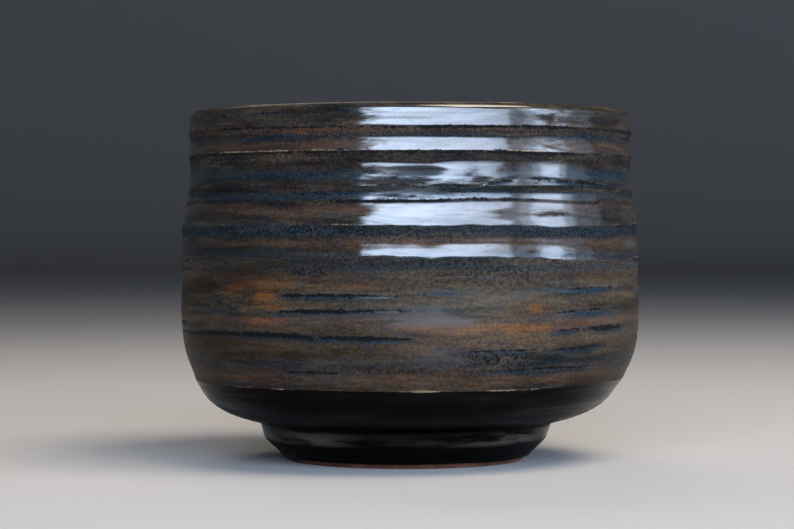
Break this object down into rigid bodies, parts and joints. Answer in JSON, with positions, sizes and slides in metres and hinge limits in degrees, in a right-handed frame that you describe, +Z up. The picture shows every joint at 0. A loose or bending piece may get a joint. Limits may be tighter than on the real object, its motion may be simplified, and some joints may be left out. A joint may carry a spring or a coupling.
{
  "type": "tea cup",
  "caption": "Wheel-thrown stoneware tea cup without a handle: bulging wall with throwing rings, undercut base on a turned foot ring, glossy variegated brown and black glaze.",
  "frame": {"origin": "on the wheel's axis, in the plane of the bare foot ring that the cup stands on", "axes": "+Z up along the wheel's axis to the mouth, -Y towards the side seen in the picture, +X to its right"},
  "size_m": [0.095, 0.095, 0.071],
  "materials": {
    "clay": "bare red-brown stoneware, matt",
    "variegated_glaze": "glossy iron glaze, brown with rust and blue-grey bands and pale broken edges",
    "black_glaze": "glossy black iron glaze",
    "liner_glaze": "glossy dark brown glaze"
  },
  "bodies": {
    "root": {"thrown_body": "clay", "foot_ring": "clay", "wall_glaze": "variegated_glaze", "foot_glaze": "black_glaze", "liner_glaze": "liner_glaze"}
  },
  "joints": []
}
